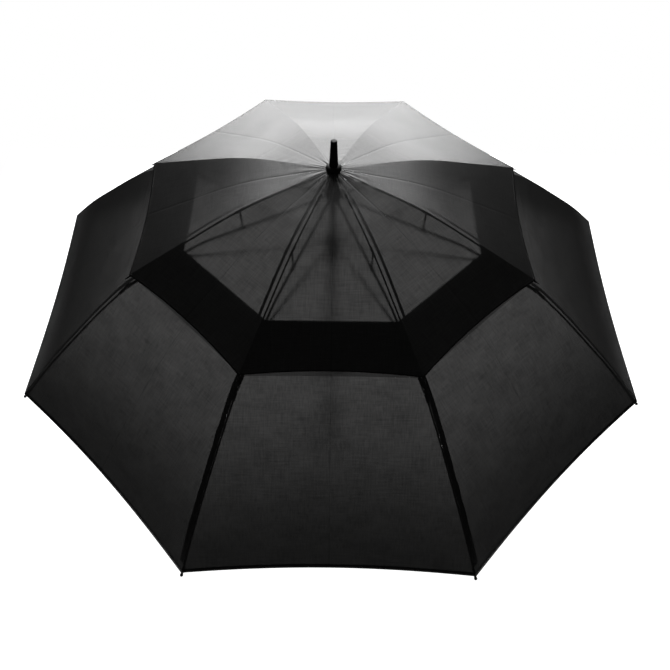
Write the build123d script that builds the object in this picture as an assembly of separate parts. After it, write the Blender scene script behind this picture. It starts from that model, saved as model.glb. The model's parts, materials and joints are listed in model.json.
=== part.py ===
from build123d import *
import math
import os

# Golf umbrella with a double canopy, open. Millimetres and degrees.
# +Z runs up the shaft, and the origin is the centre of the handle's bottom end.
# A point (radius, height) lies in the plane of one rib: radius from the shaft's axis, height above the origin.

# Ribs, spread evenly round the shaft
RIB_COUNT = 8
RIB_STEP = 360 / RIB_COUNT
HALF_STEP = RIB_STEP / 2
PANEL_RATIO = math.cos(math.radians(HALF_STEP))

# Linkage: crown pivot to rib joint is as long as rib joint to runner pivot, so the runner slides straight
CROWN_PIVOT = (12.5, 880.0)
RIB_JOINT = (293.0, 821.0)
RUNNER_PIVOT = (CROWN_PIVOT[0], 2 * RIB_JOINT[1] - CROWN_PIVOT[1])

# Line of the main rib: the inner section, then the springy outer section beyond the flex joint
RIB_BEND = (262.0, 844.0)
FLEX_JOINT = (405.0, 784.0)
OUTER_BENDS = [(470.0, 734.0), (585.0, 629.0)]
RIB_END = (648.5, 558.0)
INNER_ROD_RADIUS = 2.1
OUTER_ROD_RADIUS = 1.7
INNER_BEND_RADIUS = 200.0
OUTER_BEND_RADIUS = 900.0

# Line of the short vent rib that carries the upper canopy
VENT_RIB_LINE = [(60.0, 921.4), (180.0, 898.8), (393.0, 808.8)]
VENT_TIP_END = (404.0, 804.15)
VENT_BEND_RADIUS = 600.0
VENT_ROD_RADIUS = 1.5
POST_RADIUS = 180.0

# Stretchers
STRETCHER_ROD_RADIUS = 1.9

# Canopies
CLOTH_THICKNESS = 0.5
MAIN_CLOTH_RAISE = 5.0
MAIN_CLOTH_CREST = 3.0
MAIN_INNER_RADIUS = 292.0
MAIN_OUTER_RADIUS = 648.0
MAIN_HEM_ARCH = 8.0
MAIN_BEND_RADIUS = 280.0
VENT_CLOTH_LINE = [(3.0, 935.5), (180.0, 902.3), (402.0, 808.5)]
VENT_INNER_RADIUS = 8.0
VENT_OUTER_RADIUS = 393.0
VENT_HEM_ARCH = 10.0
PANEL_GAP = 0.3

# Shaft
SHAFT_RADIUS = 7.0
SHAFT_WALL = 0.8
SHAFT_BOTTOM = 5.0
SHAFT_TOP = 932.0

# Crown notch and runner, which hold the rib and stretcher ends on wire rings
TOOTH_RADIUS = 15.5
HUB_RADIUS = 9.4
NECK_RADIUS = 12.0
WASHER_BOTTOM = 928.8
SLOT_WIDTH = 4.9
EYE_RADIUS = 2.4
WIRE_RADIUS = 0.55
WIRE_CLEARANCE = 0.1
RUNNER_BOTTOM = 712.0
RUNNER_TOP = 768.0
RUNNER_BORE = SHAFT_RADIUS + 0.25

# Spring catches, in the front of the shaft
CATCH_PIN_DEPTH = 4.0
CATCH_LENGTH = 56.4
CATCH_WIDTH = 3.0
TOP_CATCH_PIN_HEIGHT = 655.0
BOTTOM_CATCH_PIN_HEIGHT = 374.0

# Pins
CROWN_PIN_HEIGHT = 889.5
STOP_PIN_HEIGHT = 772.5
PIN_RADIUS = 1.2
FLEX_PIN_RADIUS = 0.9
CATCH_PIN_RADIUS = 1.0
RIVET_HEAD_RADIUS = 1.9
RIVET_HEAD_THICKNESS = 0.6

# Top spike and handle
FERRULE_TOP = 1000.0
FERRULE_COLLAR_HEIGHT = 935.3
FERRULE_COLLAR_RADIUS = 14.5
FERRULE_TIP_RADIUS = 5.8
GRIP_RADIUS = 15.0
GRIP_TOP = 128.0
GRIP_CHAMFER = 1.2
GRIP_GROOVE_HEIGHTS = [14.0, 20.0, 26.0, 104.0, 110.0, 116.0]
COLLAR_RADIUS = 16.5
COLLAR_TOP = 138.0
END_CAP_RADIUS = 14.8
END_PLUG_TOP = 25.0

CENTRE_LOW = (Align.CENTER, Align.CENTER, Align.MIN)
FIT = 0.03
PIN_CLEARANCE = 0.05


def at(radius, height, side=0.0):
    """The point of the rib plane at that radius and height, moved sideways out of it."""
    return Vector(radius, side, height)


def along(start, end, distance):
    """The (radius, height) point that far from start towards end."""
    length = math.dist(start, end)
    return tuple(a + (b - a) * distance / length for a, b in zip(start, end))


def bend_path(points, bend_radius):
    """Straight runs through (radius, height) points with round bends, one radius for all or a list."""
    return FilletPolyline(*[at(*point) for point in points], radius=bend_radius)


def point_at_radius(path, radius):
    """Where a path that runs outwards crosses a radius: its share of the path, found by halving."""
    low, high = 0.0, 1.0
    for _ in range(40):
        middle = (low + high) / 2
        if (path @ middle).X < radius:
            low = middle
        else:
            high = middle
    return low


def bar(start, end, radius):
    """A round bar between two points of the rib plane."""
    first, last = at(*start), at(*end)
    plane = Plane(origin=first, z_dir=last - first)
    return plane * Cylinder(radius, (last - first).length, align=CENTRE_LOW)


def cross_pin(point, radius, length):
    """A round pin square to the rib plane, centred on it."""
    return Plane(origin=at(*point), z_dir=(0, 1, 0)) * Cylinder(radius, length)


def block(start, end, height, thickness):
    """A flat bar between two points of the rib plane."""
    first, last = at(*start), at(*end)
    plane = Plane(origin=(first + last) / 2, x_dir=last - first, z_dir=(0, 1, 0))
    return plane * Box((last - first).length, height, thickness)


def sweep_rod(path, radius):
    section = Plane(origin=path @ 0, z_dir=path % 0) * Circle(radius)
    return sweep(section, path=path)


def clip_on(path, radius, half_length, wall_radius, bore_radius):
    """A short tube round a rod, where the rod's path crosses a radius."""
    share = point_at_radius(path, radius)
    middle, direction = path @ share, path % share
    plane = Plane(origin=middle, z_dir=direction)
    tube = plane * Cylinder(wall_radius, 2 * half_length)
    return tube, plane * Cylinder(bore_radius, 4 * half_length)


def ring(inner, outer, bottom, top):
    """A round ring about the shaft's axis."""
    outside = Pos(0, 0, bottom) * Cylinder(outer, top - bottom, align=CENTRE_LOW)
    hole = Pos(0, 0, bottom - 1) * Cylinder(inner, top - bottom + 2, align=CENTRE_LOW)
    return outside - hole


def turned(profile):
    """A solid turned about the shaft's axis from a closed list of (radius, height) points."""
    return revolve(make_face(Polyline(*[at(*point) for point in profile], close=True)), Axis.Z)


def wire_eye(point):
    """The hole that a wire ring runs through, wide enough for the ring's curve."""
    return cross_pin(point, WIRE_RADIUS + 0.25, 10.0)


def riveted_pin(point, length):
    """A pin with a flat head at each end."""
    pin = cross_pin(point, PIN_RADIUS, length + 2 * RIVET_HEAD_THICKNESS)
    head = cross_pin(point, RIVET_HEAD_RADIUS, RIVET_HEAD_THICKNESS)
    for side in (-1, 1):
        pin += Pos(0, side * (length + RIVET_HEAD_THICKNESS) / 2, 0) * head
    return pin


# The main rib

INNER_ROD_END = along(FLEX_JOINT, RIB_BEND, 10.0)
INNER_PATH = bend_path([CROWN_PIVOT, RIB_BEND, INNER_ROD_END], INNER_BEND_RADIUS)
OUTER_ROD_START = along(FLEX_JOINT, OUTER_BENDS[0], 9.0)
OUTER_PATH = bend_path([OUTER_ROD_START, *OUTER_BENDS, RIB_END], OUTER_BEND_RADIUS)
VENT_PATH = bend_path(VENT_RIB_LINE, VENT_BEND_RADIUS)


def inner_rod():
    """Rod from the crown to the flex joint, with an eye for the crown wire."""
    rod = sweep_rod(INNER_PATH, INNER_ROD_RADIUS) + cross_pin(CROWN_PIVOT, EYE_RADIUS, 4.0)
    return rod - wire_eye(CROWN_PIVOT)


def joint_bracket():
    """Clip on the rib with a tongue down to the stretcher's pivot."""
    run = at(*FLEX_JOINT) - at(*RIB_BEND)
    foot = along(RIB_BEND, FLEX_JOINT, (at(*RIB_JOINT) - at(*RIB_BEND)).dot(run.normalized()))
    tube, bore = clip_on(INNER_PATH, foot[0], 7.5, 3.3, INNER_ROD_RADIUS + FIT)
    tongue = block(foot, RIB_JOINT, 6.2, 3.0) + cross_pin(RIB_JOINT, 3.1, 3.0)
    return tube + tongue - bore - cross_pin(RIB_JOINT, PIN_RADIUS + FIT, 10.0)


def vent_post():
    """T-shaped post that stands on the main rib and holds the vent rib."""
    foot_tube, foot_bore = clip_on(INNER_PATH, POST_RADIUS, 6.0, 3.2, INNER_ROD_RADIUS + FIT)
    head_tube, head_bore = clip_on(VENT_PATH, POST_RADIUS, 9.0, 2.2, VENT_ROD_RADIUS + 0.1)
    foot = INNER_PATH @ point_at_radius(INNER_PATH, POST_RADIUS)
    head = VENT_PATH @ point_at_radius(VENT_PATH, POST_RADIUS)
    post = bar((foot.X, foot.Z), (head.X, head.Z), 1.7)
    return foot_tube + head_tube + post - foot_bore - head_bore


def flex_fork():
    """Sleeve on the inner rod's end, with two cheeks that hold the outer section's tongue."""

    def inward(distance):
        return along(FLEX_JOINT, RIB_BEND, distance)

    sleeve = bar(inward(24.0), inward(6.0), 2.9)
    cheeks = block(inward(7.0), FLEX_JOINT, 5.2, 5.4) + cross_pin(FLEX_JOINT, 2.6, 5.4)
    tongue_room = block(inward(4.4), inward(-5.0), 9.0, 2.9)
    bore = bar(inward(40.0), inward(10.0), INNER_ROD_RADIUS + FIT)
    return sleeve + cheeks - tongue_room - bore - cross_pin(FLEX_JOINT, FLEX_PIN_RADIUS + FIT, 10.0)


def rib_inner():
    flex_pin = cross_pin(FLEX_JOINT, FLEX_PIN_RADIUS, 5.6)
    return [inner_rod(), joint_bracket(), vent_post(), flex_fork(), riveted_pin(RIB_JOINT, 6.8), flex_pin]


def vent_rib():
    """Short rod with a blunt inner cap and a pointed outer tip."""
    rod = sweep_rod(VENT_PATH, VENT_ROD_RADIUS)
    rod_start, rod_bend, rod_end = VENT_RIB_LINE
    inner_cap = bar(along(rod_start, rod_bend, -4.0), along(rod_start, rod_bend, 12.0), 2.2)
    inner_cap -= bar(rod_start, along(rod_start, rod_bend, 20.0), VENT_ROD_RADIUS + FIT)
    sleeve = bar(along(rod_end, rod_bend, 12.0), along(rod_end, rod_bend, -0.5), 2.1)
    sleeve -= bar(along(rod_end, rod_bend, 20.0), rod_end, VENT_ROD_RADIUS + FIT)
    first, last = at(*along(rod_end, rod_bend, -0.3)), at(*VENT_TIP_END)
    point = Plane(origin=first, z_dir=last - first) * Cone(2.0, 0.7, (last - first).length, align=CENTRE_LOW)
    return [rod, inner_cap, sleeve + point]


def rib_outer():
    """Springy outer section: tongue and socket, rod, and the cap at the canopy's corner."""

    def outward(distance):
        return along(FLEX_JOINT, OUTER_BENDS[0], distance)

    def from_end(distance):
        return along(RIB_END, OUTER_BENDS[1], distance)

    rod = sweep_rod(OUTER_PATH, OUTER_ROD_RADIUS)
    tongue = block(FLEX_JOINT, outward(7.0), 4.8, 2.6) + cross_pin(FLEX_JOINT, 2.4, 2.6)
    socket = bar(outward(5.5), outward(20.0), 2.7) + tongue
    socket -= bar(OUTER_ROD_START, outward(30.0), OUTER_ROD_RADIUS + FIT)
    socket -= cross_pin(FLEX_JOINT, FLEX_PIN_RADIUS + PIN_CLEARANCE, 10.0)
    cap = bar(from_end(14.0), from_end(-1.5), 2.3) + Pos(*at(*from_end(-1.5))) * Sphere(3.0)
    cap -= bar(from_end(20.0), RIB_END, OUTER_ROD_RADIUS + FIT)
    return [rod, socket, cap]


def stretcher():
    """Rod with an eye for the runner's wire and a fork that straddles the rib's bracket."""

    def inward(distance):
        return along(RIB_JOINT, RUNNER_PIVOT, distance)

    rod = bar(RUNNER_PIVOT, inward(8.0), STRETCHER_ROD_RADIUS) + cross_pin(RUNNER_PIVOT, EYE_RADIUS, 4.2)
    fork = block(inward(14.0), RIB_JOINT, 5.6, 6.4) + cross_pin(RIB_JOINT, 2.8, 6.4)
    fork -= block(inward(5.0), inward(-5.0), 9.0, 3.4)
    fork -= cross_pin(RIB_JOINT, PIN_RADIUS + PIN_CLEARANCE, 10.0)
    fork -= rod
    return [rod - wire_eye(RUNNER_PIVOT), fork]


# The canopies. Each gore is sewn to a rib at both sides and has a fold down its middle, where the umbrella
# creases when it closes. One canopy piece is the cloth that one rib carries, from fold to fold.

def raised(points, distance):
    """A (radius, height) line moved up, square to its runs, with its corners kept sharp."""
    angles = [math.atan2(b[1] - a[1], b[0] - a[0]) for a, b in zip(points, points[1:])]
    before = [angles[0], *angles]
    after = [*angles, angles[-1]]
    moved = []
    for (radius, height), first, second in zip(points, before, after):
        normal = (first + second) / 2 + math.pi / 2
        reach = distance / math.cos((second - first) / 2)
        moved.append((radius + reach * math.cos(normal), height + reach * math.sin(normal)))
    return moved


def gore_outline(inner_radius, outer_radius, arch):
    """A gore seen from above, its middle along +X, with a hem that arches inwards between the ribs."""
    side = math.sin(math.radians(HALF_STEP))
    inner_left = (inner_radius * PANEL_RATIO, -inner_radius * side)
    inner_right = (inner_radius * PANEL_RATIO, inner_radius * side)
    outer_left = (outer_radius * PANEL_RATIO, -outer_radius * side)
    outer_right = (outer_radius * PANEL_RATIO, outer_radius * side)
    edges = [
        Line(inner_left, outer_left),
        ThreePointArc(outer_left, (outer_radius * PANEL_RATIO - arch, 0), outer_right),
        Line(outer_right, inner_right),
        Line(inner_right, inner_left),
    ]
    return make_face(edges)


def gore(line, bend_radii, inner_radius, outer_radius, arch):
    """Cloth between two ribs, its middle along +X: the ribs' line in the middle plane, drawn sideways."""
    middle = bend_path([(radius * PANEL_RATIO, height) for radius, height in line], bend_radii)
    top = Pos(0, 0, CLOTH_THICKNESS / 2) * middle
    bottom = Pos(0, 0, -CLOTH_THICKNESS / 2) * middle
    band = make_face([*top.edges(), *bottom.edges(), Line(top @ 0, bottom @ 0), Line(top @ 1, bottom @ 1)])
    sheet = extrude(band, amount=outer_radius, dir=(0, 1, 0), both=True)
    column = extrude(gore_outline(inner_radius, outer_radius, arch), amount=FERRULE_TOP)
    return sheet & column


def canopy_piece(line, bend_radii, inner_radius, outer_radius, arch):
    """The two half gores that meet on the rib in the plane of +X."""
    whole = gore(line, bend_radii, inner_radius, outer_radius, arch)
    halves = []
    for side in (-1, 1):
        keep = Box(2 * outer_radius, outer_radius, FERRULE_TOP, align=CENTRE_LOW)
        half = whole & (Pos(0, side * (outer_radius / 2 + PANEL_GAP), 0) * keep)
        halves.append(half.rotate(Axis.Z, -side * HALF_STEP))
    return [halves[0] + halves[1]]


def main_canopy():
    start = along(RIB_BEND, FLEX_JOINT, 20.0)
    end = along(RIB_END, OUTER_BENDS[1], -12.0)
    crest = (FLEX_JOINT[0], FLEX_JOINT[1] + MAIN_CLOTH_CREST)
    line = raised([start, crest, *OUTER_BENDS, end], MAIN_CLOTH_RAISE)
    radii = [MAIN_BEND_RADIUS, OUTER_BEND_RADIUS, OUTER_BEND_RADIUS]
    return canopy_piece(line, radii, MAIN_INNER_RADIUS, MAIN_OUTER_RADIUS, MAIN_HEM_ARCH)


def vent_canopy():
    return canopy_piece(VENT_CLOTH_LINE, VENT_BEND_RADIUS, VENT_INNER_RADIUS, VENT_OUTER_RADIUS, VENT_HEM_ARCH)


# Shaft, crown, runner and handle

def rib_slots(bottom, top):
    """Slots between the teeth, one for each rib."""
    outward = (Align.MIN, Align.CENTER, Align.MIN)
    slot = Pos(HUB_RADIUS, 0, bottom) * Box(TOOTH_RADIUS, SLOT_WIDTH, top - bottom, align=outward)
    return [slot.rotate(Axis.Z, HALF_STEP + k * RIB_STEP) for k in range(RIB_COUNT)]


def wire_ring(height, clearance=0.0):
    return Pos(0, 0, height) * Torus(CROWN_PIVOT[0], WIRE_RADIUS + clearance)


def wire_groove(height):
    """Round groove for the wire, open to the outside so that the wire can be laid in."""
    half = WIRE_RADIUS + WIRE_CLEARANCE
    mouth = ring(CROWN_PIVOT[0], TOOTH_RADIUS + 1, height - half, height + half)
    return wire_ring(height, WIRE_CLEARANCE) + mouth


def crown_notch():
    """Slotted ring, pinned to the shaft, that the ribs hang from, with a neck up to the cloth's washer."""
    height = CROWN_PIVOT[1]
    bore = SHAFT_RADIUS + FIT
    notch = ring(bore, HUB_RADIUS, height - 12, height + 14)
    notch += ring(bore, TOOTH_RADIUS, height - 6, height + 6)
    notch += ring(bore, NECK_RADIUS, height + 5, WASHER_BOTTOM - 0.3)
    for slot in rib_slots(height - 20, height + 3.2):
        notch -= slot
    notch -= wire_groove(height)
    return [notch - cross_shaft_hole(CROWN_PIN_HEIGHT, PIN_RADIUS + FIT)]


def runner():
    """Sliding sleeve with a slotted head for the stretchers and a finger rim at its foot."""
    height = RUNNER_PIVOT[1]
    sleeve = ring(RUNNER_BORE, 10.2, RUNNER_BOTTOM, RUNNER_TOP)
    sleeve += ring(RUNNER_BORE, TOOTH_RADIUS, height - 6, RUNNER_TOP)
    sleeve += ring(RUNNER_BORE, 13.0, RUNNER_BOTTOM, RUNNER_BOTTOM + 5)
    sleeve += ring(RUNNER_BORE, 11.2, RUNNER_BOTTOM + 22, RUNNER_BOTTOM + 26)
    for slot in rib_slots(height - 2.8, height + 20):
        sleeve -= slot
    return [sleeve - wire_groove(height)]


def cross_shaft_hole(height, radius, depth=0.0):
    """A round hole right across the shaft along X, at that depth in front of the axis."""
    return Plane(origin=(0, -depth, height), z_dir=(1, 0, 0)) * Cylinder(radius, 60.0)


def shaft_tube():
    tube = ring(SHAFT_RADIUS - SHAFT_WALL, SHAFT_RADIUS, SHAFT_BOTTOM, SHAFT_TOP)
    tube -= cross_shaft_hole(CROWN_PIN_HEIGHT, PIN_RADIUS + FIT)
    tube -= cross_shaft_hole(STOP_PIN_HEIGHT, PIN_RADIUS + FIT)
    for height, direction in ((TOP_CATCH_PIN_HEIGHT, 1), (BOTTOM_CATCH_PIN_HEIGHT, -1)):
        tube -= cross_shaft_hole(height, CATCH_PIN_RADIUS + FIT, CATCH_PIN_DEPTH)
        slot_middle = height + direction * (CATCH_LENGTH - 14.0)
        tube -= Pos(0, -SHAFT_RADIUS, slot_middle) * Box(CATCH_WIDTH + 0.6, 5.0, 32.0)
    return [tube]


def shaft_pins():
    """Pin through the crown, stop pin above the runner, and the two flush pins that the catches swing on."""
    crown = Plane(origin=(0, 0, CROWN_PIN_HEIGHT), z_dir=(1, 0, 0)) * Cylinder(PIN_RADIUS, 23.0)
    stop = Plane(origin=(0, 0, STOP_PIN_HEIGHT), z_dir=(1, 0, 0)) * Cylinder(PIN_RADIUS, 18.4)
    catch_pins = []
    for height in (TOP_CATCH_PIN_HEIGHT, BOTTOM_CATCH_PIN_HEIGHT):
        pin = cross_shaft_hole(height, CATCH_PIN_RADIUS, CATCH_PIN_DEPTH)
        catch_pins.append(pin & (Pos(0, 0, height) * Cylinder(SHAFT_RADIUS - PIN_CLEARANCE, 10.0)))
    return [crown, stop, *catch_pins]


def catch(pin_height, direction):
    """Leaf with a sloped nose that stands out of the shaft's slot; direction is +1 with the nose above the pin."""
    flat_height = pin_height + direction * CATCH_LENGTH
    leaf_front, leaf_back, nose_front = -5.6, -4.8, -9.8
    profile = [
        (leaf_back, pin_height),
        (leaf_back, flat_height),
        (nose_front, flat_height),
        (nose_front + 1.2, flat_height - direction * 12),
        (leaf_front, flat_height - direction * 27),
        (leaf_front, pin_height),
    ]
    face = make_face(Polyline(*[Vector(0, y, z) for y, z in profile], close=True))
    leaf = extrude(face, amount=CATCH_WIDTH / 2, dir=(1, 0, 0), both=True)
    eye_plane = Plane(origin=(0, -CATCH_PIN_DEPTH, pin_height), z_dir=(1, 0, 0))
    eye = eye_plane * Cylinder(2.0, CATCH_WIDTH)
    return [leaf + eye - eye_plane * Cylinder(CATCH_PIN_RADIUS + PIN_CLEARANCE, 20.0)]


def crown_wire():
    return [wire_ring(CROWN_PIVOT[1])]


def runner_wire():
    return [wire_ring(RUNNER_PIVOT[1])]


def canopy_washer():
    """Washer under the cloth at the top of the shaft."""
    return [ring(SHAFT_RADIUS + FIT, 13.0, WASHER_BOTTOM, SHAFT_TOP)]


def ferrule():
    """Top spike with a domed collar that presses the cloth down, and a plug in the shaft."""
    plug_radius = SHAFT_RADIUS - SHAFT_WALL - FIT
    collar, low = FERRULE_COLLAR_RADIUS, FERRULE_COLLAR_HEIGHT
    plug_bottom = low - 30.0
    spike_foot = at(8.2, low + 9.0)
    tip_side = at(FERRULE_TIP_RADIUS, FERRULE_TOP - 2.0)
    tip_bevel = at(FERRULE_TIP_RADIUS - 0.6, FERRULE_TOP - 0.6)
    tip_edge = at(FERRULE_TIP_RADIUS - 2.0, FERRULE_TOP)
    edges = [
        Line(at(0, plug_bottom), at(plug_radius, plug_bottom)),
        Line(at(plug_radius, plug_bottom), at(plug_radius, low)),
        Line(at(plug_radius, low), at(collar, low)),
        Line(at(collar, low), at(collar, low + 3.0)),
        ThreePointArc(at(collar, low + 3.0), at(collar - 2.1, low + 6.9), spike_foot),
        Line(spike_foot, tip_side),
        ThreePointArc(tip_side, tip_bevel, tip_edge),
        Line(tip_edge, at(0, FERRULE_TOP)),
        Line(at(0, FERRULE_TOP), at(0, plug_bottom)),
    ]
    return [revolve(make_face(edges), Axis.Z)]


def handle_grip():
    """Straight soft grip with finger grooves near its top and bottom."""
    grip = ring(SHAFT_RADIUS + FIT, GRIP_RADIUS, SHAFT_BOTTOM, GRIP_TOP)
    circles = grip.edges().filter_by(GeomType.CIRCLE)
    grip = chamfer(circles.filter_by(lambda edge: edge.radius > GRIP_RADIUS - FIT), GRIP_CHAMFER)
    for height in GRIP_GROOVE_HEIGHTS:
        grip -= Pos(0, 0, height) * Torus(GRIP_RADIUS + 0.8, 1.6)
    return [grip]


def handle_trim():
    """Collar above the grip, and the end cap with its plug in the shaft."""
    bore = SHAFT_RADIUS + FIT
    rim = [(bore, GRIP_TOP), (COLLAR_RADIUS, GRIP_TOP), (COLLAR_RADIUS, GRIP_TOP + 4.0)]
    collar = turned([*rim, (9.5, COLLAR_TOP), (bore, COLLAR_TOP)])
    plug_radius = SHAFT_RADIUS - SHAFT_WALL - FIT
    bevel = 1.4
    foot = [(0, 0), (END_CAP_RADIUS - bevel, 0), (END_CAP_RADIUS, bevel), (END_CAP_RADIUS, SHAFT_BOTTOM)]
    plug = [(plug_radius, SHAFT_BOTTOM), (plug_radius, END_PLUG_TOP), (0, END_PLUG_TOP)]
    return [collar, turned([*foot, *plug])]


def write(name, solids):
    export_step(Compound(children=solids), f"parts/{name}.step")


def main():
    os.makedirs("parts", exist_ok=True)
    single_parts = {
        "shaft_tube": shaft_tube(),
        "ferrule": ferrule(),
        "canopy_washer": canopy_washer(),
        "crown_notch": crown_notch(),
        "crown_wire": crown_wire(),
        "runner": runner(),
        "runner_wire": runner_wire(),
        "shaft_pins": shaft_pins(),
        "top_catch": catch(TOP_CATCH_PIN_HEIGHT, 1),
        "bottom_catch": catch(BOTTOM_CATCH_PIN_HEIGHT, -1),
        "handle_grip": handle_grip(),
        "handle_trim": handle_trim(),
    }
    rib_parts = {
        "rib_inner": rib_inner(),
        "vent_rib": vent_rib(),
        "rib_outer": rib_outer(),
        "stretcher": stretcher(),
        "vent_canopy": vent_canopy(),
        "main_canopy": main_canopy(),
    }
    for name, solids in single_parts.items():
        write(name, solids)
    for name, solids in rib_parts.items():
        for k in range(RIB_COUNT):
            turn = HALF_STEP + k * RIB_STEP
            write(f"{name}_{k + 1}", [solid.rotate(Axis.Z, turn) for solid in solids])


main()
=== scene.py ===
import json
import math
from dataclasses import dataclass

import bpy
from mathutils import Matrix, Vector, noise


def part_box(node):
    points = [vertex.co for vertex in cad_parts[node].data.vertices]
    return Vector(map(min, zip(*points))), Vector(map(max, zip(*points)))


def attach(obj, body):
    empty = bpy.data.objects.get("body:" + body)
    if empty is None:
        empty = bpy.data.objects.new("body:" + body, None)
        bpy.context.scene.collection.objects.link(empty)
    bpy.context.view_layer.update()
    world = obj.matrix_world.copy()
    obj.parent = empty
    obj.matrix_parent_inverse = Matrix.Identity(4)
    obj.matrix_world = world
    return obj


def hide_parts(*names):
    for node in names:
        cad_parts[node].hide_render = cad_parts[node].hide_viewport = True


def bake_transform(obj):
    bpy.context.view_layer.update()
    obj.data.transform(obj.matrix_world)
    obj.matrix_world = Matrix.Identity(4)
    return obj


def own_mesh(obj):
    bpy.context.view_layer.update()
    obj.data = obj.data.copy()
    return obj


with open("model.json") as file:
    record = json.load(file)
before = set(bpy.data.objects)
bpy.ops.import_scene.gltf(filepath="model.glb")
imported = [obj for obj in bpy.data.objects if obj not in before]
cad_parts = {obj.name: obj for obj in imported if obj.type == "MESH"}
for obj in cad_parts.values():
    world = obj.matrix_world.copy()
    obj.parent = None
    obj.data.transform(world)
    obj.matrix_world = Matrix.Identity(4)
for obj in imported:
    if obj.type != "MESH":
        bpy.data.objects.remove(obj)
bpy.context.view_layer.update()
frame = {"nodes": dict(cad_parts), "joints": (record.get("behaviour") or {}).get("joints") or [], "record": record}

# Golf umbrella with a double canopy. Metres, in the frame of the CAD model: +Z up the shaft.
# A point (radius, height) lies in the plane of one rib.

RIB_COUNT = 8
STEP = 2 * math.pi / RIB_COUNT
HALF_STEP = STEP / 2
# The middle of a gore and half its width, as shares of the radius at its ribs
PANEL_RATIO = math.cos(HALF_STEP)
HALF_WIDTH_RATIO = math.sin(HALF_STEP)
MM = 0.001

# The joints by name, as the record gives them
JOINTS = {joint["name"]: joint for joint in frame["joints"]}

# The crown's cloth stays with the shaft up to the first radius and moves with its rib from the second
CROWN_ZONE_END = 0.092
VENT_OUTER_RADIUS = 0.396
# The vent cloth's further zones: where each ends, and the share of its width that it keeps when closed
VENT_ZONES = [(0.115, 0.87), (0.150, 0.70), (0.205, 0.54), (0.290, 0.37), (VENT_OUTER_RADIUS, 0.215)]
# The lower cloth's inner zone, which rides on the inner rib: where it ends
MAIN_ZONE_END = 0.388
MAIN_OUTER_RADIUS = 0.6490
# The lower cloth's outer zones: where each ends, the share that it keeps, and where its fold is measured
MAIN_ZONES = [(0.500, 0.14, 0.44), (MAIN_OUTER_RADIUS, 0.10, 0.57)]
# The share that the lower seam keeps, and where its fold is measured
MAIN_SEAM_FOLD = (0.09, 0.52)

# How finely the cloth is meshed: rows along the rib or their spacing, and columns from seam to fold
CROWN_ROWS, CROWN_COLUMNS = 44, 18
VENT_ROW_STEP, VENT_COLUMNS = 3 * MM, 22
MAIN_INNER_ROWS, MAIN_INNER_COLUMNS = 30, 22
MAIN_ROW_STEP, MAIN_COLUMNS = 3.5 * MM, 24
SEAM_ROW_STEP, SEAM_COLUMNS = 5 * MM, 5
FEWEST_ROWS = 4
FEWEST_SEAM_ROWS = 2

# The cloth's sag, as a share of half the gore's width, and where it starts and how far on it is full
SAG = 0.012
SAG_START, SAG_RISE = 0.03, 0.12
# The crease in the middle of each gore, and the same for it
CREASE_WIDTH = 1.6 * MM
CREASE_START, CREASE_RISE = 0.02, 0.05
# Tucks along the seams: their height, what the crown adds to it, how far out that fades, and how far
# from the seam they reach
TUCK_HEIGHT, TUCK_HEIGHT_AT_CROWN, TUCK_FADE = 0.20 * MM, 0.5 * MM, 0.25
TUCK_REACH = 11 * MM
# Gathers at the crown: the heights of the broad and the fine folds, and where they rise and fade
GATHER_HEIGHT, FINE_GATHER_HEIGHT = 1.1 * MM, 0.6 * MM
GATHER_START, GATHER_RISE = 0.008, 0.014
GATHER_FADE_START, GATHER_FADE = 0.016, 0.030
# The seam allowance: the share by which its width wavers, the largest share of half a gore that it may
# take, and how far below the cloth it lies at its edges and further in its middle
SEAM_WAVER = 0.12
SEAM_WIDEST = 0.5
SEAM_DROP, SEAM_BELLY = 0.55 * MM, 0.25 * MM
HEM_WIDTH = 4.5 * MM
# How far below the cloth its hem's edge and its folded layer lie
HEM_EDGE_DROP, HEM_FOLD_DROP = 0.30 * MM, 0.60 * MM
# Where the folded layer begins, as a share of the hem's width
HEM_FOLD_START = 0.1
# The sewing thread's radius
THREAD = 0.25 * MM
# A bent sheet's stated length and width hold its area, with this margin
SIZE_MARGIN = 1.01


# Small geometry helpers

def rounded(points, bends, steps=12):
    """A (radius, height) line with a smooth bend at each inner point, as many close points."""
    line = [Vector(points[0])]
    for before, corner, after, bend in zip(points, points[1:], points[2:], bends):
        corner = Vector(corner)
        back, ahead = Vector(before) - corner, Vector(after) - corner
        turn = math.pi - back.angle(ahead)
        reach = bend * math.tan(turn / 2)
        first, last = corner + back.normalized() * reach, corner + ahead.normalized() * reach
        for i in range(steps + 1):
            t = i / steps
            line.append(first * (1 - t) ** 2 + corner * 2 * t * (1 - t) + last * t * t)
    line.append(Vector(points[-1]))
    return line


def height_on(line, radius):
    """The height of a rounded line at that radius."""
    for a, b in zip(line, line[1:]):
        if radius <= b[0] or b is line[-1]:
            return a[1] + (b[1] - a[1]) * (radius - a[0]) / (b[0] - a[0])


def slope_on(line, radius, gap=0.002):
    return (height_on(line, radius + gap) - height_on(line, radius - gap)) / (2 * gap)


def azimuth(k):
    """The azimuth of rib k, from 1."""
    return HALF_STEP + (k - 1) * STEP


def radial(angle):
    return Vector((math.cos(angle), math.sin(angle), 0))


def tangent(angle):
    return Vector((-math.sin(angle), math.cos(angle), 0))


def side_away_from_front(k):
    return 1 if math.cos(azimuth(k)) > 0 else -1


def smooth(t):
    t = max(0.0, min(1.0, t))
    return t * t * (3 - 2 * t)


def mesh_piece(name, points, faces, material):
    mesh = bpy.data.meshes.new(name)
    mesh.from_pydata(points, [], faces)
    mesh.materials.append(material)
    mesh.shade_smooth()
    piece = bpy.data.objects.new(name, mesh)
    bpy.context.scene.collection.objects.link(piece)
    return piece


def grid_faces(rows, columns):
    faces = []
    for i in range(rows - 1):
        for j in range(columns - 1):
            a = i * columns + j
            faces.append((a, a + 1, a + columns + 1, a + columns))
    return faces


# Materials

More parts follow.
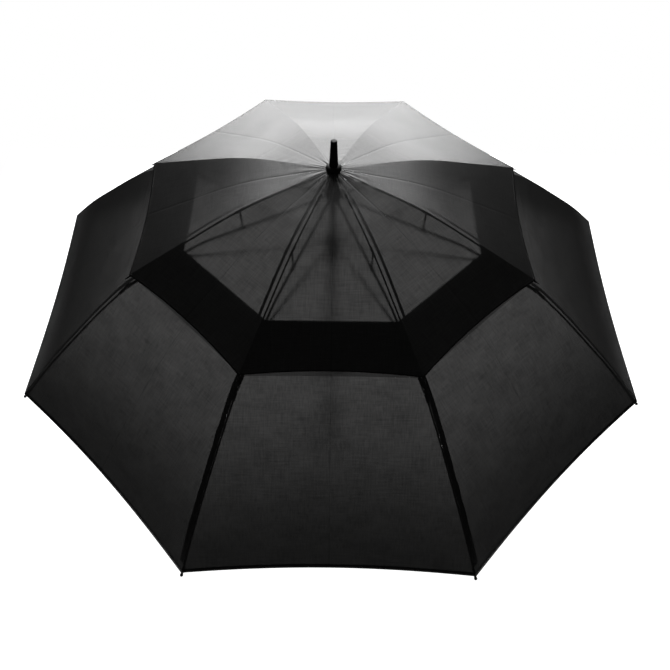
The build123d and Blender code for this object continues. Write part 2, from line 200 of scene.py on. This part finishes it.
class Nodes:
    """Short calls for building one material's nodes."""

    def __init__(self, name):
        self.material = bpy.data.materials.new(name)
        self.material.use_nodes = True
        self.tree = self.material.node_tree
        self.tree.nodes.clear()
        self.output = self.add("ShaderNodeOutputMaterial")

    def add(self, kind, settings=None, **inputs):
        node = self.tree.nodes.new(kind)
        for key, value in (settings or {}).items():
            setattr(node, key, value)
        for key, value in inputs.items():
            self.set(node, key.replace("_", " "), value)
        return node

    def set(self, node, key, value):
        socket = node.inputs[int(key)] if key.isdigit() else node.inputs[key]
        if isinstance(value, bpy.types.NodeSocket):
            self.tree.links.new(value, socket)
        else:
            socket.default_value = value
    def math(self, operation, a, b=0.0):
        node = self.add("ShaderNodeMath", {"operation": operation})
        self.set(node, "0", a)
        self.set(node, "1", b)
        return node.outputs[0]

    def plus(self, a, b):
        return self.math("ADD", a, b)

    def minus(self, a, b):
        return self.math("SUBTRACT", a, b)

    def times(self, a, b):
        return self.math("MULTIPLY", a, b)

    def length(self, a, b):
        """The length of a vector with those two parts."""
        return self.math("SQRT", self.plus(self.times(a, a), self.times(b, b)))

    def ramp(self, value, low, high):
        """0 below low, 1 above high, smooth between."""
        settings = {"interpolation_type": "SMOOTHSTEP"}
        return self.add("ShaderNodeMapRange", settings, Value=value, From_Min=low, From_Max=high).outputs[0]

    def scale_to(self, value, low, high):
        """A 0 to 1 value spread from low to high."""
        return self.add("ShaderNodeMapRange", Value=value, To_Min=low, To_Max=high).outputs[0]

    def mix_colour(self, factor, first, second):
        node = self.add("ShaderNodeMix", {"data_type": "RGBA"})
        for key, value in (("0", factor), ("6", first), ("7", second)):
            self.set(node, key, value)
        return node.outputs[2]

    def noise(self, vector, scale, detail=3.0, roughness=0.5):
        node = self.add("ShaderNodeTexNoise", Vector=vector, Scale=scale, Detail=detail, Roughness=roughness)
        return node.outputs["Fac"]

    def stretched(self, vector, scale):
        """Coordinates scaled differently along each axis."""
        return self.add("ShaderNodeMapping", Vector=vector, Scale=scale).outputs[0]

    def own_coordinates(self):
        return self.add("ShaderNodeTexCoord").outputs["Object"]

    def attribute(self, name):
        return self.add("ShaderNodeAttribute", {"attribute_name": name}).outputs["Vector"]

    def parts(self, vector):
        return self.add("ShaderNodeSeparateXYZ", Vector=vector).outputs

    def bump(self, height, distance, strength=1.0):
        return self.add("ShaderNodeBump", Height=height, Distance=distance, Strength=strength).outputs[0]

    def principled(self, colour, roughness, normal, **inputs):
        surface = {"Base_Color": colour, "Roughness": roughness, "Normal": normal, **inputs}
        return self.add("ShaderNodeBsdfPrincipled", **surface)

    def mix_shader(self, share, first, second):
        node = self.add("ShaderNodeMixShader", Fac=share)
        self.tree.links.new(first.outputs[0], node.inputs[1])
        self.tree.links.new(second.outputs[0], node.inputs[2])
        return node

    def finish(self, shader):
        self.tree.links.new(shader.outputs[0], self.output.inputs["Surface"])
        return self.material


def grey(value, warmth=0.0):
    return (value * (1 + warmth), value, value * (1 - warmth), 1)


# The cloth's weave and stitching
THREAD_PITCH = 0.45 * MM
SLUB_WIDTH_SCALE, SLUB_LENGTH_SCALE = 420, 30
CLOUD_SCALE = 14.0
STITCH_INSET = 1 * MM
STITCH_LENGTH = 3 * MM
WEAVE_HEIGHT = 0.12 * MM
# Painted shade: from the hem inwards, over this distance, the cloth comes to pass its inside share of light, so
# the lower cloth looks darker towards its hem
HEM_PAINTED_SHADE_REACH = 0.24
# The share of the cloth's look that is light passing through, and how much that light bends and spreads
THROUGH_SHARE = 0.4
THROUGH_IOR = 1.12
THROUGH_ROUGHNESS = 0.62


def cloth_material(name, passed_inside, passed_at_hem):
    """Thin black polyester in a plain weave, with painted shade along the crease in each gore's middle. It lets
    those shares of light through, inside and at its hem; where the share at the hem is smaller, that is painted
    shade.
    """
    n = Nodes(name)
    flat = n.attribute("cloth_place")
    _, hem_distance, crease_distance = n.parts(n.attribute("cloth_edges"))
    side, along, _ = n.parts(flat)

    turns = 2 * math.pi / THREAD_PITCH
    warp = n.math("SINE", n.times(side, turns))
    weft = n.math("SINE", n.times(along, turns))
    weave = n.scale_to(n.times(warp, weft), 0.25, 0.75)
    slub_warp = n.noise(n.stretched(flat, (SLUB_WIDTH_SCALE, SLUB_LENGTH_SCALE, 1)), 1.0, 2.0)
    slub_weft = n.noise(n.stretched(flat, (SLUB_LENGTH_SCALE, SLUB_WIDTH_SCALE, 1)), 1.0, 2.0)
    slubs = n.times(n.plus(slub_warp, slub_weft), 0.5)
    cloudy = n.noise(flat, CLOUD_SCALE, 4.0)

    stitch_line = n.math("ABSOLUTE", n.minus(hem_distance, HEM_WIDTH - STITCH_INSET))
    near_line = n.minus(1.0, n.ramp(stitch_line, 0.2 * MM, 0.6 * MM))
    dashes = n.math("SINE", n.times(side, 2 * math.pi / STITCH_LENGTH))
    stitches = n.times(near_line, n.ramp(dashes, -0.4, 0.2))
    # Painted shade along the crease in the middle of each gore: it darkens the colour and the light passed there
    crease = n.minus(1.0, n.ramp(crease_distance, 0.2 * MM, 1.3 * MM))
    crease = n.times(crease, n.scale_to(cloudy, 0.2, 0.8))

    tone = n.scale_to(n.plus(n.times(weave, 0.3), n.times(slubs, 0.7)), 0.0, 1.0)
    colour = n.mix_colour(tone, grey(0.005), grey(0.014, 0.02))
    colour = n.mix_colour(stitches, colour, grey(0.012))
    # Painted shade in the crease
    colour = n.mix_colour(crease, colour, grey(0.003))
    height = n.plus(n.times(weave, 0.5), n.times(slubs, 0.5))
    height = n.minus(height, n.times(near_line, 0.8))
    height = n.plus(height, n.times(stitches, 1.6))
    rough = n.scale_to(cloudy, 0.32, 0.42)
    surface = n.principled(colour, rough, n.bump(height, WEAVE_HEIGHT), Specular_IOR_Level=0.5)

    light = n.plus(n.times(slubs, 0.75), n.times(cloudy, 0.25))
    # Less light passed in the crease: painted shade
    light = n.minus(n.ramp(light, 0.25, 0.75), n.times(crease, 0.5))
    spread = n.add("ShaderNodeBsdfTranslucent", Color=n.mix_colour(light, grey(0.006), grey(0.011, 0.01)))
    # Painted shade: the light passed falls from the inside share to the share at the hem
    inside = n.ramp(hem_distance, 0.0, HEM_PAINTED_SHADE_REACH)
    passed = n.plus(passed_at_hem, n.times(inside, passed_inside - passed_at_hem))
    thread_gaps = n.mix_colour(light, grey(0.55), grey(1.45, 0.01))
    scaled = {"0": thread_gaps, "Scale": passed}
    colour_through = n.add("ShaderNodeVectorMath", {"operation": "SCALE"}, **scaled).outputs[0]
    straight = n.add("ShaderNodeBsdfRefraction", Color=colour_through,
                     Roughness=THROUGH_ROUGHNESS, IOR=THROUGH_IOR)
    through = n.mix_shader(0.5, spread, straight)
    return n.finish(n.mix_shader(THROUGH_SHARE, surface, through))


def rod_material():
    """Black glass-fibre rods with black clips, and bright pins at the pivots."""
    n = Nodes("black_glass_fibre")
    place = n.own_coordinates()
    x, y, z = n.parts(place)
    from_shaft = n.length(x, y)
    fibres = n.noise(n.stretched(place, (300, 300, 300)), 1.0, 4.0)
    blotches = n.noise(place, 25.0, 3.0)
    pins = 0.0
    for joint, head_radius in (("stretcher_swing_1", 2.1 * MM), ("rib_flex_1", 1.0 * MM)):
        pivot = JOINTS[joint]["pos_m"]
        across = n.minus(from_shaft, math.hypot(pivot[0], pivot[1]))
        from_pin = n.length(across, n.minus(z, pivot[2]))
        head = n.minus(1.0, n.ramp(from_pin, head_radius, head_radius + 0.15 * MM))
        pins = n.math("MAXIMUM", pins, head)
    colour = n.mix_colour(fibres, grey(0.010), grey(0.026))
    colour = n.mix_colour(pins, colour, grey(0.55))
    rough = n.plus(n.scale_to(blotches, 0.28, 0.42), n.times(pins, -0.05))
    return n.finish(n.principled(colour, rough, n.bump(fibres, 0.05 * MM), Metallic=pins, Coat_Weight=0.15))


def shaft_material():
    """Black glass-fibre tube with faint lengthwise streaks and rubbed marks from the runner."""
    n = Nodes("shaft_glass_fibre")
    place = n.own_coordinates()
    streaks = n.noise(n.stretched(place, (900, 900, 12)), 1.0, 3.0)
    rubs = n.ramp(n.noise(n.stretched(place, (160, 160, 6)), 1.0, 5.0, 0.6), 0.58, 0.72)
    colour = n.mix_colour(streaks, grey(0.010), grey(0.024))
    colour = n.mix_colour(n.times(rubs, 0.5), colour, grey(0.05))
    rough = n.plus(n.scale_to(streaks, 0.25, 0.40), n.times(rubs, 0.15))
    normal = n.bump(streaks, 0.04 * MM)
    return n.finish(n.principled(colour, rough, normal, Coat_Weight=0.3, Coat_Roughness=0.2))


def moulding_material():
    """Black moulded plastic with a fine spark texture, a little paler where it is rubbed."""
    n = Nodes("black_moulded_plastic")
    place = n.own_coordinates()
    grain = n.noise(place, 2200.0, 2.0)
    wear = n.ramp(n.noise(place, 60.0, 5.0, 0.65), 0.55, 0.75)
    colour = n.mix_colour(grain, grey(0.005), grey(0.012))
    colour = n.mix_colour(n.times(wear, 0.25), colour, grey(0.03))
    rough = n.scale_to(n.noise(place, 90.0, 4.0), 0.46, 0.62)
    return n.finish(n.principled(colour, rough, n.bump(grain, 0.06 * MM), Specular_IOR_Level=0.25))


def wire_material():
    """Bright drawn steel, with fine lines and a few dull spots."""
    n = Nodes("drawn_steel")
    place = n.own_coordinates()
    lines = n.noise(n.stretched(place, (2500, 2500, 120)), 1.0, 2.0)
    spots = n.ramp(n.noise(place, 300.0, 4.0), 0.55, 0.7)
    colour = n.mix_colour(spots, grey(0.58), grey(0.33, 0.03))
    rough = n.plus(n.scale_to(lines, 0.22, 0.38), n.times(spots, 0.15))
    return n.finish(n.principled(colour, rough, n.bump(lines, 0.03 * MM), Metallic=1.0))


def grip_material():
    """Closed-cell foam with a skin of fine pores, with painted shade darkening its grooves, and polished where it
    is held.
    """
    n = Nodes("grip_foam")
    place = n.own_coordinates()
    pores = n.add("ShaderNodeTexVoronoi", Vector=place, Scale=900.0).outputs["Distance"]
    skin = n.noise(place, 220.0, 5.0, 0.6)
    polish = n.noise(n.stretched(place, (40, 40, 14)), 1.0, 3.0)
    x, y, _ = n.parts(place)
    grip_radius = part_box("handle_grip")[1].x
    # Painted shade: darker below the grip's outer surface, in its grooves
    painted_groove_shade = n.minus(1.0, n.ramp(n.length(x, y), grip_radius - 0.7 * MM, grip_radius - 0.05 * MM))
    colour = n.mix_colour(skin, grey(0.016), grey(0.034))
    colour = n.mix_colour(painted_groove_shade, colour, grey(0.009))
    height = n.plus(n.times(pores, 0.5), n.times(skin, 0.5))
    rough = n.scale_to(polish, 0.55, 0.8)
    return n.finish(n.principled(colour, rough, n.bump(height, 0.15 * MM, 0.8)))


def thread_material():
    """Twisted black sewing thread."""
    n = Nodes("black_thread")
    twist = n.noise(n.stretched(n.own_coordinates(), (3000, 3000, 3000)), 1.0, 2.0)
    colour = n.mix_colour(twist, grey(0.012), grey(0.04))
    rough = n.scale_to(twist, 0.6, 0.85)
    return n.finish(n.principled(colour, rough, n.bump(twist, 0.1 * MM)))


def floor_material():
    """White studio floor that glows, like a lit table."""
    n = Nodes("studio_floor")
    colour = n.mix_colour(n.noise(n.own_coordinates(), 3.0, 2.0), grey(0.80), grey(0.83))
    return n.finish(n.add("ShaderNodeBsdfPrincipled", Base_Color=colour, Roughness=0.7,
                          Emission_Color=grey(1.0), Emission_Strength=FLOOR_GLOW))


THREAD_BLACK = thread_material()


# The canopies

@dataclass(frozen=True)
class Canopy:
    """One canopy's shape over a rib, and how it is sewn."""

    line: list  # its seam over a rib, as (radius, height) points
    inner: float  # the radius of its inner edge, and of its hem's corners
    outer: float
    arch: float  # how far its hem curves inwards between two corners
    crease_depth: float  # of the fold in the middle of each gore
    seam_start: float  # where the seam allowance starts and ends, how wide it is and how far it strays
    seam_end: float
    seam_width: float
    seam_drift: float
    gathered: bool  # drawn together under the spike's collar
    material: bpy.types.Material

    def share_of(self, radius):
        """0 at the inner radius, 1 at the hem."""
        return (radius - self.inner) / (self.outer - self.inner)


VENT = Canopy(
    line=rounded([(0.0, 0.9361), (0.180, 0.9025), (0.404, 0.8080)], [0.60]),
    inner=0.0095,
    outer=VENT_OUTER_RADIUS,
    arch=0.008,
    crease_depth=0.22 * MM,
    seam_start=0.030,
    seam_end=0.392,
    seam_width=6 * MM,
    seam_drift=7 * MM,
    gathered=True,
    material=cloth_material("vent_polyester", 0.100, 0.100),
)
MAIN_SEAM = [(0.2823, 0.8409), (0.4076, 0.7914), (0.4733, 0.7378), (0.5886, 0.6325), (0.6602, 0.5524)]
MAIN = Canopy(
    line=rounded(MAIN_SEAM, [0.28, 0.90, 0.90]),
    inner=0.292,
    outer=MAIN_OUTER_RADIUS,
    arch=0.007,
    crease_depth=0.10 * MM,
    seam_start=MAIN_ZONE_END,
    seam_end=0.638,
    seam_width=11 * MM,
    seam_drift=0.5 * MM,
    gathered=False,
    # Passes less light towards its hem: painted shade
    material=cloth_material("main_polyester", 0.108, 0.023),
)


def gathers(radius, angle):
    """Small radial folds where the cloth is drawn together under the spike's collar."""
    broad = noise.noise(Vector((math.cos(angle) * 7.0, math.sin(angle) * 7.0, radius * 9.0)))
    fine = noise.noise(Vector((math.cos(angle) * 17.0, math.sin(angle) * 17.0, 4.0 + radius * 14.0)))
    fade = math.exp(-max(0.0, radius - GATHER_FADE_START) / GATHER_FADE)
    folds = GATHER_HEIGHT * broad + FINE_GATHER_HEIGHT * fine
    return folds * fade * smooth((radius - GATHER_START) / GATHER_RISE)


def tucks(seam_distance, radius, angle):
    """Uneven little tucks along a seam, stronger near the middle of the umbrella."""
    height = TUCK_HEIGHT_AT_CROWN * math.exp(-radius / TUCK_FADE) + TUCK_HEIGHT
    wobble = noise.noise(Vector((radius * 75.0 + seam_distance * 28.0, angle * 5.0, 2.0)))
    slow = 0.5 + noise.noise(Vector((radius * 9.0, angle * 3.0, 8.0)))
    return height * wobble * max(0.0, slow) * math.exp(-seam_distance / TUCK_REACH)


def cloth_point(canopy, k, side, share, across, drop=0.0):
    """A point of the cloth that rib k carries.

    side is -1 or 1, across runs from 0 on the seam to 1 at the fold in the gore's middle, share runs
    from 0 at the inner radius to 1 at the hem, and drop moves the point square to the cloth, inwards.
    Returns the point, its place on the flat cloth and its distances to the seam and to that fold."""
    from_middle = 1 - across
    bow = 1 - from_middle ** 2
    reach_in = canopy.inner * PANEL_RATIO
    reach_out = canopy.outer * PANEL_RATIO - canopy.arch * bow
    reach = reach_in + (reach_out - reach_in) * share
    radius = reach / PANEL_RATIO
    half_width = radius * HALF_WIDTH_RATIO
    offset = half_width * from_middle
    middle_angle = azimuth(k) + side * HALF_STEP
    angle = middle_angle - side * math.atan2(offset, reach)
    seam_distance = half_width * across
    crease_distance = half_width - seam_distance
    slope = slope_on(canopy.line, radius) / PANEL_RATIO
    normal = Vector((-slope, 0, 1)).normalized()

    lift = -SAG * half_width * bow ** 1.5 * smooth((radius - SAG_START) / SAG_RISE)
    crease = math.exp(-(crease_distance / CREASE_WIDTH) ** 2)
    lift -= canopy.crease_depth * crease * smooth((radius - CREASE_START) / CREASE_RISE)
    lift += tucks(seam_distance, radius, azimuth(k))
    if canopy.gathered:
        lift += gathers(radius, angle)
    lift -= drop

    flat_point = Vector((reach, 0, height_on(canopy.line, radius))) + normal * lift
    outward, sideways = radial(middle_angle), tangent(middle_angle)
    point = outward * flat_point.x - sideways * (side * offset) + Vector((0, 0, flat_point.z))
    place = (-side * offset, reach * math.sqrt(1 + slope * slope), 0.0)
    return point, place, seam_distance, crease_distance


def mark_cloth(piece, places, edges):
    """Gives the material each point's place on the flat cloth, and its distances to seam, hem and fold."""
    for key, values in (("cloth_place", places), ("cloth_edges", edges)):
        attribute = piece.data.attributes.new(key, "FLOAT_VECTOR", "POINT")
        attribute.data.foreach_set("vector", [value for triple in values for value in triple])


def cloth_piece(name, canopy, k, start, end, rows, columns, sides=(-1, 1)):
    """One zone of the cloth that rib k carries, from radius start to end, on those sides of the rib.

    Its hem is folded under where it ends at the canopy's outer edge and, on the lower canopy, where it
    starts at the inner edge."""
    width = canopy.outer - canopy.inner
    hem_at_start = start == canopy.inner and not canopy.gathered
    radii = [start + (end - start) * i / (rows - 1) for i in range(rows)]
    levels = [(canopy.share_of(radius), 0.0) for radius in radii]
    hem = HEM_WIDTH / width
    fold_start = HEM_FOLD_START * hem
    if end == canopy.outer:
        levels += [(1.0, HEM_EDGE_DROP), (1.0 - fold_start, HEM_FOLD_DROP), (1.0 - hem, HEM_FOLD_DROP)]
    if hem_at_start:
        levels = [(hem, HEM_FOLD_DROP), (fold_start, HEM_FOLD_DROP), (0.0, HEM_EDGE_DROP)] + levels

    # Both sides share the points on the seam
    from_seam = [(1 - math.cos(math.pi * j / columns)) / 2 for j in range(columns + 1)]
    right = [(-1, across) for across in reversed(from_seam)] if -1 in sides else []
    left = [(1, across) for across in from_seam] if 1 in sides else []
    steps = right + (left[1:] if right else left)

    points, places, edges = [], [], []
    for share, drop in levels:
        for side, across in steps:
            point, place, seam_distance, crease_distance = cloth_point(canopy, k, side, share, across, drop)
            hem_distance = (1 - share) * width
            if hem_at_start:
                hem_distance = min(hem_distance, share * width)
            points.append(point)
            places.append(place)
            edges.append((seam_distance, hem_distance, crease_distance))
    piece = mesh_piece(name, points, grid_faces(len(levels), len(steps)), canopy.material)
    mark_cloth(piece, places, edges)
    return piece


def seam_strip(name, canopy, k, start, end):
    """The seam allowance under the cloth: a narrow strip beside the rib, on the side away from the front."""
    side = side_away_from_front(k)
    first, last = canopy.seam_start, canopy.seam_end
    start, end = max(start, first), min(end, last)
    rows = FEWEST_SEAM_ROWS + round((end - start) / SEAM_ROW_STEP)
    points = []
    for i in range(rows):
        radius = start + (end - start) * i / (rows - 1)
        half_width = radius * HALF_WIDTH_RATIO
        stray = canopy.seam_drift * max(0.0, math.sin(math.pi * (radius - first) / (last - first))) ** 0.5
        width = canopy.seam_width * (1 + SEAM_WAVER * noise.noise(Vector((radius * 60, k * 3.0, 5.0))))
        width = min(width, SEAM_WIDEST * half_width)
        for j in range(SEAM_COLUMNS):
            place = j / (SEAM_COLUMNS - 1)
            across = (stray + width * place) / half_width
            under = SEAM_DROP + SEAM_BELLY * math.sin(math.pi * place)
            points.append(cloth_point(canopy, k, side, canopy.share_of(radius), across, under)[0])
    piece = mesh_piece(name, points, grid_faces(rows, SEAM_COLUMNS), canopy.material)
    mark_cloth(piece, [(point.x, point.y, 0.0) for point in points], [(1.0, 1.0, 1.0)] * len(points))
    return piece


def declare_cloth(piece, k):
    """Works out the size that the zone was cut to: its own width and length, and its area."""
    corners = [vertex.co for vertex in piece.data.vertices]
    angle = azimuth(k)
    across = [point.dot(tangent(angle)) for point in corners]
    out = [point.dot(radial(angle)) for point in corners]
    rise = [point.z for point in corners]
    width = max(across) - min(across)
    length = math.hypot(max(rise) - min(rise), max(out) - min(out))
    area = sum(face.area for face in piece.data.polygons)
    length = max(length, area / width * SIZE_MARGIN)


def fold_flat(piece):
    """Gives the piece a mesh of its own."""
    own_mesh(piece)


def fold_onto_rib(piece, k, side, radius):
    """Works out, for a half gore of the lower canopy at that radius, a point on its rib, the way along the rib and
    the way to the fold in the gore's middle, and gives the piece a mesh of its own.
    """
    share, ahead = MAIN.share_of(radius), MAIN.share_of(radius + 1 * MM)
    on_rib = cloth_point(MAIN, k, side, share, 0.0)[0]
    along = (cloth_point(MAIN, k, side, ahead, 0.0)[0] - on_rib).normalized()
    to_fold = cloth_point(MAIN, k, side, share, 1.0)[0] - on_rib
    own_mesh(piece)


def build_crown(k):
    """The gathered cloth round the top, between the fixed crown and its swinging rib."""
    crown = cloth_piece(f"vent_cloth_crown_{k}", VENT, k, VENT.inner, CROWN_ZONE_END,
                        CROWN_ROWS, CROWN_COLUMNS)
    seam = seam_strip(f"vent_seam_crown_{k}", VENT, k, 0.0, CROWN_ZONE_END)
    for piece in (crown, seam):
        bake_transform(piece)
    declare_cloth(crown, k)


def build_vent(k):
    """The rest of the upper cloth, zone by zone out to its hem."""
    start = CROWN_ZONE_END
    for i, (end, keep) in enumerate(VENT_ZONES, 1):
        rows = FEWEST_ROWS + round((end - start) / VENT_ROW_STEP)
        zone = cloth_piece(f"vent_cloth_{k}_{i}", VENT, k, start, end, rows, VENT_COLUMNS)
        seam = seam_strip(f"vent_seam_{k}_{i}", VENT, k, start, end)
        for piece in (zone, seam):
            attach(piece, f"rib_inner_{k}")
            fold_flat(piece)
        declare_cloth(zone, k)
        if end == VENT.outer:
            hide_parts(f"vent_canopy_{k}")
        start = end


def build_main(k):
    """The lower cloth: a seam, and on each side of the rib an inner zone and the zones out to the hem."""
    seam_side = side_away_from_front(k)
    seam = seam_strip(f"main_seam_{k}", MAIN, k, MAIN_ZONE_END, MAIN.outer)
    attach(seam, f"rib_outer_{k}")
    keep, fold_radius = MAIN_SEAM_FOLD
    fold_onto_rib(seam, k, seam_side, fold_radius)
    for side, side_name in ((-1, "right"), (1, "left")):
        inner = cloth_piece(f"main_cloth_inner_{side_name}_{k}", MAIN, k, MAIN.inner, MAIN_ZONE_END,
                            MAIN_INNER_ROWS, MAIN_INNER_COLUMNS, (side,))
        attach(inner, f"rib_inner_{k}")
        fold_onto_rib(inner, k, side, MAIN_ZONE_END)
        declare_cloth(inner, k)
        start = MAIN_ZONE_END
        for i, (end, keep, fold_radius) in enumerate(MAIN_ZONES, 1):
            carries_seam = end == MAIN.outer and side == seam_side
            rows = FEWEST_ROWS + round((end - start) / MAIN_ROW_STEP)
            outer = cloth_piece(f"main_cloth_{side_name}_{k}_{i}", MAIN, k, start, end,
                                rows, MAIN_COLUMNS, (side,))
            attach(outer, f"rib_outer_{k}")
            fold_onto_rib(outer, k, side, fold_radius)
            declare_cloth(outer, k)
            if carries_seam:
                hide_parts(f"main_canopy_{k}")
            start = end


def build_canopies():
    for k in range(1, RIB_COUNT + 1):
        build_crown(k)
        build_vent(k)
        build_main(k)


# Thread ties that hold the cloth to the rods

OUTER_ROD = rounded([(0.412, 0.7783), (0.470, 0.734), (0.585, 0.629), (0.6485, 0.558)], [0.9, 0.9])
VENT_ROD = rounded([(0.060, 0.9214), (0.180, 0.8988), (0.393, 0.8088)], [0.6])
MAIN_TIE_RADII = (0.50, 0.585)
VENT_TIE_RADIUS = 0.27
# The radius that the thread is wound on, which clears the rod
MAIN_TIE_BORE = 1.7 * MM
VENT_TIE_BORE = 1.5 * MM
TIE_TURNS = 4
TIE_PITCH = 2.1 * THREAD
STEPS_PER_TURN = 20
THREAD_SIDES = 6


def thread_tie(name, k, body, rod, radius, bore):
    """A few turns of thread wound round a rod."""
    outward, sideways = radial(azimuth(k)), tangent(azimuth(k))
    run = (outward + Vector((0, 0, slope_on(rod, radius)))).normalized()
    up = sideways.cross(run)
    if up.z < 0:
        up = -up
    centre = outward * radius + Vector((0, 0, height_on(rod, radius)))
    spine = []
    for i in range(TIE_TURNS * STEPS_PER_TURN + 1):
        turn = 2 * math.pi * i / STEPS_PER_TURN
        spine.append(centre + run * (TIE_PITCH * (i / STEPS_PER_TURN - TIE_TURNS / 2))
                     + (sideways * math.cos(turn) + up * math.sin(turn)) * (bore + THREAD))
    points = []
    for i, point in enumerate(spine):
        ahead = (spine[min(i + 1, len(spine) - 1)] - spine[max(i - 1, 0)]).normalized()
        across = ahead.cross(run).normalized()
        other = across.cross(ahead)
        for s in range(THREAD_SIDES):
            turn = 2 * math.pi * s / THREAD_SIDES
            points.append(point + (across * math.cos(turn) + other * math.sin(turn)) * THREAD)
    faces = []
    for i in range(len(spine) - 1):
        for s in range(THREAD_SIDES):
            a, b = i * THREAD_SIDES + s, i * THREAD_SIDES + (s + 1) % THREAD_SIDES
            faces.append((a, b, b + THREAD_SIDES, a + THREAD_SIDES))
    faces.append(tuple(range(THREAD_SIDES))[::-1])
    faces.append(tuple(range(len(points) - THREAD_SIDES, len(points))))
    piece = mesh_piece(name, points, faces, THREAD_BLACK)
    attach(piece, body)


def build_ties():
    for k in range(1, RIB_COUNT + 1):
        for i, radius in enumerate(MAIN_TIE_RADII, 1):
            thread_tie(f"main_tie_{k}_{i}", k, f"rib_outer_{k}", OUTER_ROD, radius, MAIN_TIE_BORE)
        thread_tie(f"vent_tie_{k}", k, f"rib_inner_{k}", VENT_ROD, VENT_TIE_RADIUS, VENT_TIE_BORE)


# Studio

FLOOR_GLOW = 0.88
FLOOR_REACH = 1.15
WINDOW_PLACE = Vector((0, 3.0, 1.75))
WINDOW_TARGET = Vector((0, 0, 0.85))
WINDOW_SIZE = (2.9, 3.1)
WINDOW_POWER = 285
ROOM_SEEN, ROOM_UNSEEN = 1.0, 0.03
# The camera looks at the middle of the circle of rib tips
TIPS_HEIGHT = 0.562
CAMERA_DISTANCE = 1.76
CAMERA_ELEVATION = math.radians(50.5)
CAMERA_ROLL = math.radians(0.70)
CAMERA_LENS = 43.95
CAMERA_SENSOR = 36
CAMERA_SHIFT = (0.0045, -0.0510)


def build_floor():
    corners = [(x * FLOOR_REACH, y * FLOOR_REACH, 0) for x, y in ((-1, -1), (1, -1), (1, 1), (-1, 1))]
    floor = mesh_piece("studio_floor", corners, [(0, 1, 2, 3)], floor_material())


def build_window():
    """The one light: a tall window behind the umbrella, which shines through its cloth."""
    light = bpy.data.lights.new("back_window", "AREA")
    light.shape = "RECTANGLE"
    light.size, light.size_y = WINDOW_SIZE
    light.energy = WINDOW_POWER
    window = bpy.data.objects.new("back_window", light)
    bpy.context.scene.collection.objects.link(window)
    window.location = WINDOW_PLACE
    window.rotation_euler = (WINDOW_TARGET - WINDOW_PLACE).to_track_quat("-Z", "Y").to_euler()


def build_world():
    """White to the camera, and dim to the object so that little but the window and the floor lights it."""
    world = bpy.data.worlds.new("studio")
    bpy.context.scene.world = world
    world.use_nodes = True
    tree = world.node_tree
    tree.nodes.clear()
    output = tree.nodes.new("ShaderNodeOutputWorld")
    path, mix = tree.nodes.new("ShaderNodeLightPath"), tree.nodes.new("ShaderNodeMixShader")
    tree.links.new(path.outputs["Is Camera Ray"], mix.inputs[0])
    for strength, socket in ((ROOM_UNSEEN, mix.inputs[1]), (ROOM_SEEN, mix.inputs[2])):
        background = tree.nodes.new("ShaderNodeBackground")
        background.inputs["Color"].default_value = grey(1.0)
        background.inputs["Strength"].default_value = strength
        tree.links.new(background.outputs[0], socket)
    tree.links.new(mix.outputs[0], output.inputs[0])


def build_camera():
    camera = bpy.data.cameras.new("camera")
    camera.lens = CAMERA_LENS
    camera.sensor_width = CAMERA_SENSOR
    camera.shift_x, camera.shift_y = CAMERA_SHIFT
    eye = bpy.data.objects.new("camera", camera)
    bpy.context.scene.collection.objects.link(eye)
    away = Vector((0, -math.cos(CAMERA_ELEVATION), math.sin(CAMERA_ELEVATION)))
    look = away.to_track_quat("Z", "Y").to_matrix() @ Matrix.Rotation(CAMERA_ROLL, 3, "Z")
    place = Vector((0, 0, TIPS_HEIGHT)) + away * CAMERA_DISTANCE
    eye.matrix_world = Matrix.Translation(place) @ look.to_4x4()
    bpy.context.scene.camera = eye


# The looks of the CAD nodes, by the record's material slots
FINISHES = {
    "shaft": shaft_material(),
    "moulding": moulding_material(),
    "wire": wire_material(),
    "grip": grip_material(),
    "rod": rod_material(),
    "cloth": MAIN.material,
}


def finish_cad_nodes():
    for part in frame["record"]["subparts"]:
        node = frame["nodes"][part["node"]]
        node.data.materials.clear()
        node.data.materials.append(FINISHES[part["material_slot"]])


finish_cad_nodes()
build_canopies()
build_ties()
build_floor()
build_window()
build_world()
build_camera()
bpy.context.scene.view_settings.view_transform = "Standard"
